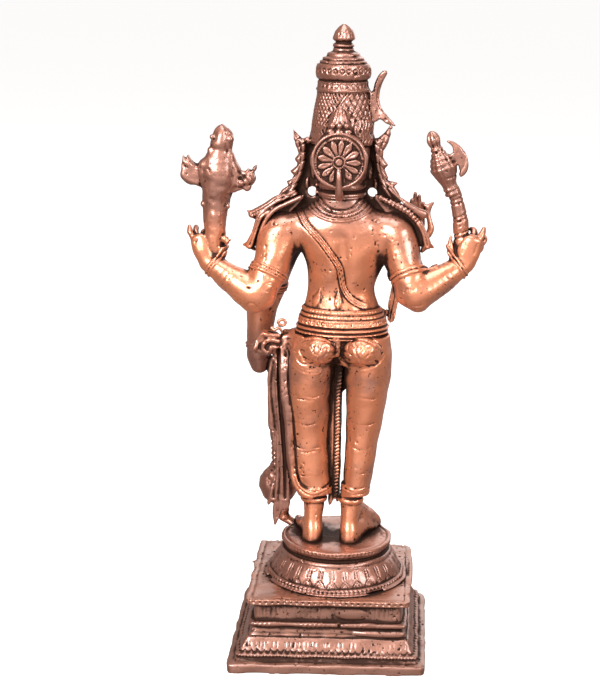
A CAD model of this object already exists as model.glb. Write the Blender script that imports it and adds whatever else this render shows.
import math

import bpy
import numpy as np
import openvdb
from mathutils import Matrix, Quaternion, Vector


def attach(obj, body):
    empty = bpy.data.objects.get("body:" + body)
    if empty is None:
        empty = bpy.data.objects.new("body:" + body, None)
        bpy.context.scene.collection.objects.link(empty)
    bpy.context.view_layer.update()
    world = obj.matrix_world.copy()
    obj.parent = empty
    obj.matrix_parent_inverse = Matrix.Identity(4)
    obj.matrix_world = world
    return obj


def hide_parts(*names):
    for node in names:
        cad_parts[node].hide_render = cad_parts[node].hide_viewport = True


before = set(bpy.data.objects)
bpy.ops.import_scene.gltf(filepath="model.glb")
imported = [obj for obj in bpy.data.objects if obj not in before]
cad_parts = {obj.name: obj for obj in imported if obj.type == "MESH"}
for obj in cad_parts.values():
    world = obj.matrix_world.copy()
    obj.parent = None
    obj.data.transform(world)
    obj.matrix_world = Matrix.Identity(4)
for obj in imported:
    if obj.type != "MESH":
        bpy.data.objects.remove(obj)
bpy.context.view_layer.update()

# Camera: behind the figure and a little above its middle, turned by a few degrees and tilted by less than one,
# as the photo was taken. The object's back looks at it.
camera = bpy.data.objects.new("camera", bpy.data.cameras.new("camera"))
camera.data.lens = 83.1
camera.data.sensor_width = 36
camera.data.clip_start = 0.01
camera.location = (-0.0204, 0.4495, 0.204)
looking_at = Vector((0.0105, 0.0005, 0.0882))
camera_tilt = Quaternion((0, 0, 1), math.radians(0.9))
camera.rotation_mode = "QUATERNION"
camera.rotation_quaternion = (looking_at - camera.location).to_track_quat("-Z", "Y") @ camera_tilt
bpy.context.collection.objects.link(camera)
bpy.context.scene.camera = camera


# Floor and light: a plain pale studio table and large soft lamps, the strongest at the upper left of the photo.
class Shade:
    """A socket of a material's nodes, so that shader maths reads as Python."""

    def __init__(self, socket):
        self.socket = socket

    @property
    def tree(self):
        return self.socket.node.id_data

    def node(self, kind, settings=None, out=0, **inputs):
        made = self.tree.nodes.new(kind)
        for name, value in (settings or {}).items():
            setattr(made, name, value)
        for name, value in inputs.items():
            key = int(name[1:]) if name[0] == "i" and name[1:].isdigit() else name.replace("_", " ")
            put(made.inputs[key], value)
        return Shade(made.outputs[out])

    def maths(self, operation, *values):
        return self.node("ShaderNodeMath", {"operation": operation}, i0=values[0], i1=values[1])

    def __add__(self, other):
        return self.maths("ADD", self, other)

    def __sub__(self, other):
        return self.maths("SUBTRACT", self, other)

    def __rsub__(self, other):
        return self.maths("SUBTRACT", other, self)

    def __mul__(self, other):
        return self.maths("MULTIPLY", self, other)

    def clamped(self, low, high):
        """0 below low, 1 above high, and a soft step between."""
        settings = {"interpolation_type": "SMOOTHSTEP"}
        return self.node("ShaderNodeMapRange", settings, Value=self, From_Min=low, From_Max=high)

    def mixed(self, first, second):
        """The first colour where this is 0, the second where it is 1."""
        return self.node("ShaderNodeMix", {"data_type": "RGBA"}, out=2, i0=self, i6=first, i7=second)

    __radd__ = __add__
    __rmul__ = __mul__


def put(socket, value):
    """A value or a link into a socket; a colour of three numbers gets its alpha."""
    if isinstance(value, Shade):
        socket.id_data.links.new(value.socket, socket)
    elif isinstance(value, tuple) and len(value) == 3 and socket.type == "RGBA":
        socket.default_value = (*value, 1)
    else:
        socket.default_value = value


def finish_of(name):
    """A new material: its main shader's inputs, and a point on the object's surface to start the maths from."""
    material = bpy.data.materials.new(name)
    material.use_nodes = True
    shader = material.node_tree.nodes["Principled BSDF"]
    place = Shade(material.node_tree.nodes.new("ShaderNodeTexCoord").outputs["Object"])
    return material, shader.inputs, place


table_finish, table_shader, _ = finish_of("studio_table")
put(table_shader["Base Color"], (0.4, 0.39, 0.38))
put(table_shader["Roughness"], 0.9)
put(table_shader["Emission Color"], (1.0, 0.99, 0.98))
put(table_shader["Emission Strength"], 0.88)
bpy.ops.mesh.primitive_plane_add(size=30)
table = bpy.context.object
table.name = "studio_table"
table.data.materials.append(table_finish)
table.visible_glossy = False

world = bpy.data.worlds.new("studio")
world.use_nodes = True
background = world.node_tree.nodes["Background"].inputs
around = Shade(world.node_tree.nodes.new("ShaderNodeTexCoord").outputs["Generated"])
depth_of_room = around.node("ShaderNodeSeparateXYZ", Vector=around, out=1)
to_camera = around.node("ShaderNodeLightPath")
room = depth_of_room.clamped(-0.8, 0.3).mixed((0.28, 0.27, 0.27), (0.07, 0.06, 0.06))
room = depth_of_room.clamped(0.45, 1.0).mixed(room, (0.86, 0.83, 0.81))
put(background["Color"], to_camera.mixed(room, (1, 1, 1)))
put(background["Strength"], 1.0)
bpy.context.scene.world = world
bpy.context.scene.view_settings.view_transform = "Standard"
for lamp_name, place, aim, size, power in [
    ("key_lamp", (0.3, 0.55, 0.45), (0, 0, 0.1), 0.3, 7),
    ("fill_lamp", (-0.5, 0.4, 0.4), (0, 0, 0.1), 0.3, 3.4),
    ("top_lamp", (0.05, 0.1, 0.9), (0, 0, 0.1), 0.5, 5),
    ("front_lamp", (-0.3, -0.8, 0.5), (0, 0, 0.1), 1.0, 4),
]:
    lamp = bpy.data.objects.new(lamp_name, bpy.data.lights.new(lamp_name, "AREA"))
    lamp.data.size = size
    lamp.data.energy = power
    lamp.location = place
    lamp.rotation_mode = "QUATERNION"
    lamp.rotation_quaternion = (Vector(aim) - Vector(place)).to_track_quat("-Z", "Y")
    bpy.context.collection.objects.link(lamp)

# Plinth: square and stepped, cast in copper on its own, with petals on its slope and bands of beads and
# strokes above and below. The wax model is shaped here as distances to its surface, in millimetres.
MM = 0.001
FAR = 2.0


def melted(first, second, melt):
    """Two forms joined as warm wax is, with a fillet of about the given size."""
    joined = np.minimum(first, second)
    if melt > 0:
        near = np.maximum(melt - np.abs(first - second), 0)
        joined = joined - near * near / (4 * melt)
    return joined


def smoothed(rows, steps):
    """Rows of numbers with further rows between them, on Catmull-Rom curves through each column."""
    rows = np.array(rows, float)
    wide = np.vstack([rows[:1], rows, rows[-1:]])
    made = []
    for before, start, end, after in zip(wide, wide[1:], wide[2:], wide[3:]):
        slope, next_slope, rise = (end - before) / 2, (after - start) / 2, end - start
        for t in np.arange(steps) / steps:
            made.append(start + slope * t + (3 * rise - 2 * slope - next_slope) * t ** 2
                        + (slope + next_slope - 2 * rise) * t ** 3)
    return np.array(made + [rows[-1]])


def rounded_loop(points, steps=3):
    """A closed outline with its corners drawn into curves."""
    points = np.array(points, float)
    ring = smoothed(np.vstack([points[-2:], points, points[:2]]), steps)
    return ring[2 * steps: -steps - 1]


def outline_distance(points, u, v):
    """Distance from points (u, v) to a closed outline, less than 0 inside it."""
    u, v = np.broadcast_arrays(u, v)
    square = np.full(u.shape, 1e9)
    inside = np.zeros(u.shape, bool)
    for a, b in zip(points, np.roll(points, -1, 0)):
        edge_u, edge_v = b - a
        du, dv = u - a[0], v - a[1]
        along = np.clip((du * edge_u + dv * edge_v) / (edge_u ** 2 + edge_v ** 2 + 1e-12), 0, 1)
        square = np.minimum(square, (du - edge_u * along) ** 2 + (dv - edge_v * along) ** 2)
        above, below, left = v >= a[1], v < b[1], edge_u * dv > edge_v * du
        inside ^= (above & below & left) | ~(above | below | left)
    return np.where(inside, -1, 1) * np.sqrt(square)


def spun(profile, foot=(0, 0, 0), tip=None, corner=2):
    """A form turned on an axis; rows are radius and distance along. A corner above 2 makes it square."""
    profile = np.array(profile, float)
    ring = np.vstack([profile, profile[::-1] * [-1, 1]])
    foot = np.array(foot, float)
    axis = np.array([0, 0, 1.0]) if tip is None else np.array(tip, float) - foot
    axis /= np.linalg.norm(axis)
    fine = 0.1
    most, lowest, highest = profile[:, 0].max() + 4, profile[:, 1].min() - 4, profile[:, 1].max() + 4
    radii, levels = np.arange(0, most, fine), np.arange(lowest, highest, fine)
    sheet = outline_distance(ring, radii[:, None], levels[None]).astype(np.float32)
    reach = profile[:, 0].max()
    ends = np.array([foot + axis * profile[:, 1].min(), foot + axis * profile[:, 1].max()])
    side = reach * np.sqrt(np.maximum(1 - axis ** 2, 0)) + 0.1

    def distance(x, y, z):
        dx, dy, dz = x - foot[0], y - foot[1], z - foot[2]
        along = (dx * axis[0] + dy * axis[1] + dz * axis[2]).astype(np.float32)
        if corner == 2:
            radius = np.sqrt(np.maximum(dx * dx + dy * dy + dz * dz - along * along, 0)).astype(np.float32)
        else:
            wider, other = np.maximum(np.abs(dx), np.abs(dy)) + 1e-6, np.minimum(np.abs(dx), np.abs(dy))
            radius = (wider * (1 + (other / wider) ** corner) ** (1 / corner) + 0 * dz).astype(np.float32)
        i = np.clip(radius / fine, 0, len(radii) - 1.001)
        j = np.clip((along - lowest) / fine, 0, len(levels) - 1.001)
        i0, j0 = i.astype(np.int32), j.astype(np.int32)
        fi, fj = i - i0, j - j0
        flat, wide = sheet.ravel(), len(levels)
        at = i0 * wide + j0
        return ((flat[at] * (1 - fj) + flat[at + 1] * fj) * (1 - fi)
                + (flat[at + wide] * (1 - fj) + flat[at + wide + 1] * fj) * fi)

    return ends.min(0) - side, ends.max(0) + side, distance


class Wax:
    """A wax model on a grid of distances to its surface, less than 0 inside."""

    def __init__(self, low, high, step=0.3):
        self.step = step
        self.low = np.array(low, float)
        size = np.ceil((np.array(high, float) - self.low) / step).astype(int) + 1
        self.depth = np.full(size, FAR, np.float32)

    def window(self, low, high, reach=0.0):
        first = np.floor((np.array(low) - reach - self.low) / self.step).astype(int)
        last = np.ceil((np.array(high) + reach - self.low) / self.step).astype(int) + 1
        return tuple(slice(min(max(a, 0), n - 1), max(min(b, n), 1))
                     for a, b, n in zip(first, last, self.depth.shape))

    def places(self, window):
        lines = [self.low[k] + self.step * np.arange(part.start, part.stop) for k, part in enumerate(window)]
        x, y, z = (line.astype(np.float32) for line in lines)
        return x[:, None, None], y[None, :, None], z[None, None, :]

    def add(self, form, melt=0.0):
        low, high, distance = form
        window = self.window(low, high, FAR + melt)
        self.depth[window] = melted(self.depth[window], distance(*self.places(window)), melt)

    def cut(self, form, melt=0.0):
        low, high, distance = form
        window = self.window(low, high, FAR + melt)
        self.depth[window] = -melted(-self.depth[window], distance(*self.places(window)), melt)

    def chase(self, raised, low, high, within=1.2):
        """Work the surface with a tool: raised gives its height at each point, less than 0 for a cut."""
        window = self.window(low, high)
        here = self.depth[window]
        near = np.nonzero(np.abs(here) < within)
        x, y, z = (line.ravel()[index] for line, index in zip(self.places(window), near))
        here[near] -= raised(x, y, z).astype(np.float32)

    def filled(self, places):
        """Which of the places lie in this wax."""
        at = ((places - self.low.astype(np.float32)) / self.step + 0.5).astype(np.int32)
        inside = ((at >= 0) & (at < self.depth.shape)).all(1)
        at[~inside] = 0
        return inside & (self.depth[at[:, 0], at[:, 1], at[:, 2]] < 0)

    def softened(self, radius):
        """The distances, levelled off over about the given radius, to tell hollows from high parts."""
        soft = np.clip(self.depth, -1, 1)
        reach = max(1, round(radius / self.step))
        for axis in (0, 1, 2) * 2:
            soft = np.moveaxis(soft, axis, 0)
            padded = np.concatenate([np.repeat(soft[:1], reach + 1, 0), soft, np.repeat(soft[-1:], reach, 0)])
            total = np.cumsum(padded, 0, dtype=np.float64)
            soft = ((total[2 * reach + 1:] - total[:-2 * reach - 1]) / (2 * reach + 1)).astype(np.float32)
            soft = np.moveaxis(soft, 0, axis)
        return soft

    def cast(self, name, most_triangles):
        """The copper piece: a mesh of the surface in metres, with what each point knows of its hollows."""
        grid = openvdb.FloatGrid(FAR)
        grid.copyFromArray(self.depth)
        points, _, quads = grid.convertToPolygons(isovalue=0, adaptivity=0)
        mesh = bpy.data.meshes.new(name)
        mesh.from_pydata((points * self.step + self.low) * MM, [], quads)
        piece = bpy.data.objects.new(name, mesh)
        bpy.context.collection.objects.link(piece)
        if 2 * len(quads) > most_triangles:
            thinner = piece.modifiers.new("thinner", "DECIMATE")
            thinner.ratio = most_triangles / (2 * len(quads))
            seen = piece.evaluated_get(bpy.context.evaluated_depsgraph_get())
            piece.data = bpy.data.meshes.new_from_object(seen)
            piece.modifiers.clear()
        mesh = piece.data
        mesh.name = name
        places = np.empty(len(mesh.vertices) * 3, np.float32)
        mesh.vertices.foreach_get("co", places)
        places = places.reshape(-1, 3) / MM
        at = np.clip((places - self.low) / self.step, 0, np.array(self.depth.shape) - 1.001)
        whole = at.astype(int)
        share = at - whole
        soft = self.softened(0.45)
        level = 0
        for corner in np.ndindex(2, 2, 2):
            weight = np.prod(np.where(corner, share, 1 - share), 1)
            level = level + weight * soft[tuple((whole + corner).T)]
        kept = mesh.attributes.new("high_or_low", "FLOAT", "POINT")
        kept.data.foreach_set("value", level.astype(np.float32))
        mesh.polygons.foreach_set("use_smooth", np.ones(len(mesh.polygons), bool))
        waxes.append((self, piece))
        return piece


waxes = []


plinth_wax = Wax((-29.5, -29.5, -1), (29.5, 31.5, 21.5), 0.25)
PLINTH_PROFILE = [
    (0, 0), (28.3, 0), (28.4, 2.3), (28.0, 2.7), (26.4, 3.0), (25.7, 4.0), (26.3, 4.3), (26.2, 4.9), (25.2, 5.3),
    (25.0, 5.8), (23.6, 8.2), (23.3, 8.9), (22.6, 9.0), (21.9, 10.4), (21.5, 11.9), (22.7, 12.2), (22.9, 12.7),
    (22.7, 13.2), (21.4, 13.5), (21.2, 18.3), (22.9, 18.6), (23.5, 18.9), (23.5, 20.4), (0, 20.4),
]


def hill(distance, width):
    """A rounded rise, 1 high, that falls away over the given width."""
    return np.exp(-(distance / width) ** 2)


def spaced(value, pitch):
    """Distance from the nearest of many marks at an even pitch."""
    return value - pitch * np.round(value / pitch)


def between(value, low, high, soft=0.25):
    """1 between two limits, with soft edges."""
    return np.clip((value - low) / soft + 0.5, 0, 1) * np.clip((high - value) / soft + 0.5, 0, 1)


def uneven(x, y, z):
    """The slight unevenness of a hand-made wax."""
    return 0.07 * (np.sin(0.55 * x + 0.9 * z) + np.sin(0.8 * y - 0.5 * z + 2) + np.sin(0.45 * x - 0.6 * y + 1))


def lumps(x, y, z, size, seed):
    """Random unevenness from -1 to 1, in soft lumps of about the given size."""
    count = 32
    cells = np.random.default_rng(seed).uniform(-1, 1, (count, count, count)).astype(np.float32)
    whole, share = [], []
    for line in (x, y, z):
        cell = np.floor(line / size)
        part = line / size - cell
        whole.append(cell.astype(int))
        share.append(part * part * (3 - 2 * part))
    value = 0
    for corner in np.ndindex(2, 2, 2):
        weight = 1
        for side, part in zip(corner, share):
            weight = weight * (part if side else 1 - part)
        value = value + weight * cells[tuple((cell + side) % count for cell, side in zip(whole, corner))]
    return value


def casting_skin(x, y, z, seed):
    """The skin of a rough casting: low waves, small grain and scattered pits."""
    pits = np.clip((lumps(x, y, z, 0.95, seed) - 0.62) / 0.2, 0, 1) * np.clip(lumps(x, y, z, 6, seed + 1) + 0.5, 0, 1)
    return uneven(x, y, z) + 0.06 * lumps(x, y, z, 2.2, seed + 2) - 0.32 * pits


def crooked(x, y):
    """The plinth is cast a little out of square: its back runs out to the figure's left."""
    return y * np.where(y > 0, 1 - 0.0022 * x, 1)


def plinth_form(x, y, z):
    return plinth_square[2](x, crooked(x, y), z)


def plinth_carving(x, y, z):
    """What is cut and raised on the plinth's four sides, and the lines on its flat tops."""
    y = crooked(x, y)
    along = np.where(np.abs(x) > np.abs(y), y, x)
    out = np.maximum(np.abs(x), np.abs(y))
    mended = between(x, -22, -8, 3) * (y > 15)
    dots = hill(np.hypot(spaced(along, 1.75), z - 19.7), 0.4) * (out > 22.8)
    plate_line = hill(out - 21.7, 0.2) * (z > 19.9)
    dado = hill(spaced(along + 0.3 * np.sin(along), 1.15), 0.2) * between(z, 14.5, 17.8)
    dado = dado * np.clip((np.abs(along) - 8) / 6, 0.1, 0.6)
    band = hill(spaced(along + 0.9 * (z - 12.9), 1.3), 0.22) * between(z, 12.0, 13.3) * (0.55 + 0.45 * np.sin(along * 0.4))
    nicks = hill(z - 9.9, 0.2) * (1 - mended)
    petal = spaced(along, 3.7)
    strokes = (hill(np.abs(petal) - 0.55, 0.16) + 0.4 * hill(petal - 1.85, 0.16)) * between(z, 6.5, 7.8)
    scallop = hill(z - 5.1 - 0.75 * (spaced(along, 1.85) / 0.92) ** 2, 0.22)
    rope = hill(spaced(along + 0.5 * z, 0.95), 0.24) * between(z, 4.1, 5.0)
    return (casting_skin(x, y, z, 11) - 0.5 * dots - 0.18 * plate_line - 0.14 * dado - 0.16 * band - 0.2 * nicks
            - 0.22 * strokes * (1 - 0.8 * mended) - 0.34 * scallop * (1 - 0.5 * mended) - 0.24 * rope)


plinth_square = spun(PLINTH_PROFILE, corner=36)
plinth_wax.add((plinth_square[0] - [0, 0, 0], plinth_square[1] + [0, 2, 0], plinth_form))


def egg(x, y, z, wide, deep, tall):
    """A rounded form about a middle point."""
    radii = np.array([wide, deep, tall], np.float32)

    def distance(px, py, pz):
        u, v, w = (px - x) / radii[0], (py - y) / radii[1], (pz - z) / radii[2]
        share = np.sqrt(u * u + v * v + w * w)
        return share * (share - 1) / (np.sqrt((u / wide) ** 2 + (v / deep) ** 2 + (w / tall) ** 2) + 1e-4)

    return np.array([x, y, z]) - radii, np.array([x, y, z]) + radii, distance


plinth_wax.chase(plinth_carving, (-30, -30, 0), (30, 30, 21))
# Casting flaws of this plinth: a filled hollow and a broken band at the back, a spur and a swelling on the plate.
for flaw in (
    egg(-6.6, 20.8, 16.0, 4.4, 0.9, 2.2), egg(-11.5, 21.4, 12.9, 2.6, 1.1, 0.8), egg(-14.5, 21.2, 10.2, 7.5, 1.3, 1.2),
    egg(-19.5, 21.2, 10.4, 3.0, 1.2, 1.1), egg(-23.4, -4, 19.7, 0.7, 13, 0.9),
):
    plinth_wax.add(flaw, 0.5)
plinth_wax.add(egg(23.7, -5.5, 19.9, 0.8, 0.4, 0.4))
plinth_wax.cut(egg(-3.4, 22.6, 12.7, 0.45, 0.9, 1.0), 0.2)
plinth_wax.cut(egg(-15.4, 23.2, 12.7, 6.0, 0.9, 0.9), 0.3)
plinth = plinth_wax.cast("plinth", 130000)


def copper(name, light, dusky, dark, dullness, handled_from):
    """Cast copper: rubbed bright on its high parts, dusky in patches, brown in its hollows, with fine grain."""
    material, shader, place = finish_of(name)
    level = place.node("ShaderNodeAttribute", {"attribute_name": "high_or_low"}, out=2)
    shelter = place.node("ShaderNodeAttribute", {"attribute_name": "closed_in"}, out=2)
    clouds = place.node("ShaderNodeTexNoise", Vector=place, Scale=110, Detail=6, Roughness=0.68)
    stains = place.node("ShaderNodeTexNoise", Vector=place, Scale=42, Detail=6, Roughness=0.7)
    grain = place.node("ShaderNodeTexNoise", Vector=place, Scale=800, Detail=4, Roughness=0.65)
    specks = place.node("ShaderNodeTexNoise", Vector=place, Scale=1100, Detail=1)
    pocks = specks.clamped(0.64, 0.72) * stains.clamped(0.38, 0.5)
    grime = (shelter * 3.6 + level * -5.5 + (clouds - 0.5) * 1.6 + pocks * 1.2).clamped(0.25, 1.3)
    height = place.node("ShaderNodeSeparateXYZ", Vector=place, out=2)
    beside = place.node("ShaderNodeSeparateXYZ", Vector=place, out=0)
    hanging = beside.clamped(0.0115, 0.013) * height.clamped(0.034, 0.036) * (1 - height.clamped(0.084, 0.102))
    handled = height.clamped(handled_from, handled_from + 0.006) * (1 - height.clamped(0.118, 0.132))
    handled = handled * (1 - hanging)
    rubbed = (1 - handled * (1 - stains.clamped(0.46, 0.68))).mixed(light, dusky)
    put(shader["Base Color"], grime.mixed(rubbed, dark))
    put(shader["Metallic"], 0.76 - handled * 0.1 - grime * 0.5)
    put(shader["Roughness"], grime * 0.2 + (clouds * 0.2 + dullness) + 0.1 - handled * 0.1)
    bump = place.node("ShaderNodeBump", Strength=0.8, Distance=0.00018, Height=grain)
    put(shader["Normal"], bump)
    put(shader["Coat Weight"], 1 - grime)
    put(shader["Coat Roughness"], 0.27)
    put(shader["Coat IOR"], 1.7)
    put(shader["Specular Tint"], (1.0, 0.6, 0.45))
    return material


plinth.data.materials.append(copper("plinth_copper", (0.48, 0.18, 0.095), (0.27, 0.11, 0.07), (0.02, 0.008, 0.006), 0.3, 0.0175))
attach(plinth, "root")
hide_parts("plinth")

# Lotus base: a round bell of petals under a rim, of one casting with the figure that stands on it.
base_wax = Wax((-24.5, -23, 19.5), (22, 23, 33.5), 0.26)
BASE_PROFILE = [
    (0, 20.7), (21.1, 20.7), (21.1, 21.0), (20.2, 21.2), (20.3, 22.0), (19.8, 22.3), (19.4, 22.5), (19.0, 23.6),
    (18.3, 25.0), (17.2, 26.6), (16.3, 27.6), (16.4, 28.1), (16.0, 28.7), (15.2, 28.9), (15.2, 29.6), (15.5, 29.9),
    (15.8, 30.4), (16.3, 30.7), (16.3, 31.7), (15.9, 32.1), (0, 32.1),
]
BASE_X = -1.1
base_wax.add(spun(BASE_PROFILE, (BASE_X, 0, 0)))
PETALS = 32


def petal_carving(x, y, z):
    """Lotus petals in cut strokes on the bell, and rows of punched dots on rim, neck and foot."""
    turn = np.arctan2(y, x - BASE_X)
    radius = np.hypot(x - BASE_X, y)
    petal = spaced(turn, 2 * np.pi / PETALS) * 18
    stem = hill(np.abs(petal) - 0.42, 0.17) * between(z, 24.7, 26.8)
    spread = (24.5 - z) * 0.75
    chevron = (hill(np.abs(petal) - spread - 0.1, 0.17) + hill(np.abs(petal) - spread + 0.55, 0.17) * (spread > 0.5))
    chevron = chevron * between(z, 22.7, 24.5)
    foot_line = hill(z - 22.45, 0.22)
    foot_dots = hill(np.hypot(spaced(turn, 2 * np.pi / 96) * 20.2, (z - 21.7) * 0.8), 0.36) * (radius > 19.6)
    neck_dots = hill(np.hypot(spaced(turn, 2 * np.pi / 84) * 15.2, z - 29.2), 0.3) * (radius < 15.5)
    rim_dots = hill(np.hypot(spaced(turn + 0.02, 2 * np.pi / 80) * 16.2, (z - 31.2) * 0.8), 0.34) * (radius > 15.7)
    rim_line = hill(z - 30.55, 0.16) * (radius > 15.4)
    top_line = hill(radius - 14.9, 0.3) * (z > 31.6)
    return (casting_skin(x, y, z, 21) - 0.34 * (stem + chevron) - 0.25 * foot_line - 0.45 * foot_dots - 0.4 * neck_dots
            - 0.45 * rim_dots - 0.15 * rim_line - 0.2 * top_line)


base_wax.chase(petal_carving, (-24, -23, 20.9), (22, 23, 33))
lotus_base = base_wax.cast("lotus_base", 110000)
figure_copper = copper("figure_copper", (0.63, 0.205, 0.094), (0.31, 0.125, 0.083), (0.018, 0.006, 0.004), 0.24, 0.03)


def settle(piece):
    """Give a piece of the figure's casting its finish and its place in the frame."""
    piece.data.materials.append(figure_copper)
    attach(piece, "root")
    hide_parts("figure")


settle(lotus_base)

# Legs in their wrapped cloth, with feet and anklets, and the cloth that hangs free: one casting with the base.


def stack(rows, steps=6):
    """A form built up in level slices; a row is height, middle x, middle y, half width, half depth."""
    fine = smoothed(sorted(rows), steps)
    low = np.array([(fine[:, 1] - fine[:, 3]).min(), (fine[:, 2] - fine[:, 4]).min(), fine[0, 0]])
    high = np.array([(fine[:, 1] + fine[:, 3]).max(), (fine[:, 2] + fine[:, 4]).max(), fine[-1, 0]])

    def distance(x, y, z):
        columns = (np.interp(z.ravel(), fine[:, 0], fine[:, k]).astype(np.float32) for k in range(1, 5))
        middle_x, middle_y, wide, deep = (column[None, None] for column in columns)
        u, v = (x - middle_x) / wide, (y - middle_y) / deep
        share = np.sqrt(u * u + v * v)
        fall = np.sqrt((u / wide) ** 2 + (v / deep) ** 2) + 1e-4
        return np.maximum(share * (share - 1) / fall, np.maximum(z - high[2], low[2] - z))

    return low, high, distance


def limb(rows, across=(1, 0, 0), steps=4):
    """A limb of changing thickness; a row is x, y, z, half width, half depth, the width lying along across."""
    fine = smoothed(rows, steps).astype(np.float32)
    thick = fine[:, 3:].max()
    across = np.array(across, float)

    def distance(x, y, z):
        lines = [x.ravel(), y.ravel(), z.ravel()]
        made = np.full([line.size for line in lines], FAR + 1, np.float32)
        for a, b in zip(fine, fine[1:]):
            pad = max(a[3:].max(), b[3:].max()) + FAR + 0.5
            lowest, highest = np.minimum(a[:3], b[:3]) - pad, np.maximum(a[:3], b[:3]) + pad
            part = tuple(slice(*np.searchsorted(line, (lo, hi))) for line, lo, hi in zip(lines, lowest, highest))
            if any(p.start >= p.stop for p in part):
                continue
            axis = b[:3] - a[:3]
            length = float(np.linalg.norm(axis)) + 1e-6
            axis = axis / length
            side = across - axis * across.dot(axis)
            side = side / np.linalg.norm(side)
            up = np.cross(axis, side)
            dx, dy, dz = x[part[0]] - a[0], y[:, part[1]] - a[1], z[:, :, part[2]] - a[2]

            def on(direction):
                return dx * np.float32(direction[0]) + dy * np.float32(direction[1]) + dz * np.float32(direction[2])

            along = on(axis)
            held = np.clip(along, 0, length)
            share = held / length
            wide = a[3] + (b[3] - a[3]) * share
            deep = a[4] + (b[4] - a[4]) * share
            round_end = np.minimum(wide, deep)
            u, v, w = on(side) / wide, on(up) / deep, (along - held) / round_end
            inside = np.sqrt(u * u + v * v + w * w)
            fall = np.sqrt((u / wide) ** 2 + (v / deep) ** 2 + (w / round_end) ** 2) + 1e-4
            made[part] = np.minimum(made[part], inside * (inside - 1) / fall)
        return made

    return fine[:, :3].min(0) - thick, fine[:, :3].max(0) + thick, distance


def plate(outline, front, back, edge=0.4, smooth=True, bent=None):
    """A flat form cut to an outline of x and z, between two depths in y; bent gives its middle's shift in y."""
    ring = rounded_loop(outline) if smooth else np.array(outline, float)
    middle, half = (front + back) / 2, abs(back - front) / 2
    low, high = ring.min(0), ring.max(0)
    room = 0 if bent is None else 3

    def distance(x, y, z):
        flat = outline_distance(ring, x[:, 0, :], z[0]).astype(np.float32)[:, None, :]
        shift = 0 if bent is None else bent(x, z)
        side = np.abs(y - middle - shift) - half
        outer = np.sqrt(np.maximum(flat + edge, 0) ** 2 + np.maximum(side + edge, 0) ** 2)
        return outer + np.minimum(np.maximum(flat, side) + edge, 0) - edge

    return (np.array([low[0], middle - half - room, low[1]]),
            np.array([high[0], middle + half + room, high[1]]), distance)


legs_wax = Wax((-20, -20.5, 30.5), (27, 16.5, 98), 0.3)
LEFT_LEG = [
    (94, 5.6, 2.6, 6.4, 7.6), (86, 7.0, 2.6, 7.2, 8.2), (77, 7.8, 2.2, 6.6, 7.3), (69, 7.8, 1.4, 6.3, 6.5),
    (62.5, 7.65, 0.9, 5.95, 6.0), (55, 6.9, 1.5, 5.6, 5.8), (49, 5.75, 1.8, 5.15, 5.3), (46, 5.4, 1.9, 5.0, 5.2),
]
RIGHT_LEG = [
    (94, -8.6, 2.6, 6.6, 7.6), (86, -9.3, 2.4, 6.9, 8.1), (77, -9.05, 2.0, 6.15, 7.2), (69, -8.6, 1.3, 5.4, 6.4),
    (62.5, -8.0, 0.9, 4.8, 5.8), (55, -7.4, 1.6, 4.4, 5.6), (49, -6.8, 1.8, 4.1, 5.0), (46, -6.6, 1.9, 4.0, 4.8),
]
for leg, ankle_x, splay, flare in ((LEFT_LEG, 5.6, 8, 0.45), (RIGHT_LEG, -5.1, 17, 0.1)):
    legs_wax.add(stack(leg))
    hem = [(z, x, y, wide + flare, deep + flare) for z, x, y, wide, deep in leg[-1:] + [
        (48.3, leg[-2][1] * 0.97, leg[-2][2], leg[-2][3], leg[-2][4])]]
    legs_wax.add(stack(hem), 0.4)
    legs_wax.add(stack([
        (49, ankle_x, 2.1, 3.2, 3.4), (44.9, ankle_x, 2.2, 3.2, 3.3), (43.3, ankle_x, 2.4, 3.0, 3.2),
        (38.6, ankle_x, 3.2, 2.7, 3.2), (35.4, ankle_x, 4.0, 2.8, 3.8), (31.7, ankle_x, 4.3, 3.0, 3.9),
    ]), 0.5)
    legs_wax.add(stack([(43.4, ankle_x, 2.3, 3.6, 3.7), (44.1, ankle_x, 2.3, 3.9, 4.0),
                        (44.8, ankle_x, 2.3, 3.6, 3.7)]), 0.2)
    away = math.copysign(1, ankle_x)
    turn = math.radians(splay)
    forward = np.array([away * math.sin(turn), -math.cos(turn), 0])
    sideways = np.array([math.cos(turn), away * math.sin(turn), 0])
    heel = np.array([ankle_x, 6.1, 32.1])
    instep = [(0, 0.9, 2.0, 2.2), (4, 2.5, 2.8, 4.0), (7.5, 2.1, 3.2, 3.2), (11.5, 1.2, 3.8, 2.0),
              (14.6, 0.9, 3.8, 1.4)]
    legs_wax.add(limb([(*(heel + forward * along + [0, 0, rise]), wide, deep)
                       for along, rise, wide, deep in instep], sideways), 0.8)
    for toe in range(5):
        across = (-2.9 + 1.42 * toe) * -away
        size = (1.25, 0.95, 0.9, 0.85, 0.75)[toe]
        ends = [heel + forward * along + sideways * across for along in (13.2, 16.9 - 0.6 * toe)]
        legs_wax.add(limb([(*(end + [0, 0, rise]), size, size * 0.9)
                           for end, rise in zip(ends, (0.8, 0.6))], sideways), 0.15)
legs_wax.add(limb([(-5.8, 0.0, 41.2, 2.6, 2.4), (-7.4, -3.4, 38.0, 3.2, 3.2), (-9.2, -7.0, 35.4, 3.4, 2.8),
                   (-10.8, -9.6, 33.8, 3.0, 1.8)]), 2.0)
for seat_x, seat_wide in ((4.5, 5.3), (-7.6, 5.8)):
    legs_wax.add(egg(seat_x, 7.0, 90.5, seat_wide, 6.6, 4.8), 0.7)
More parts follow.
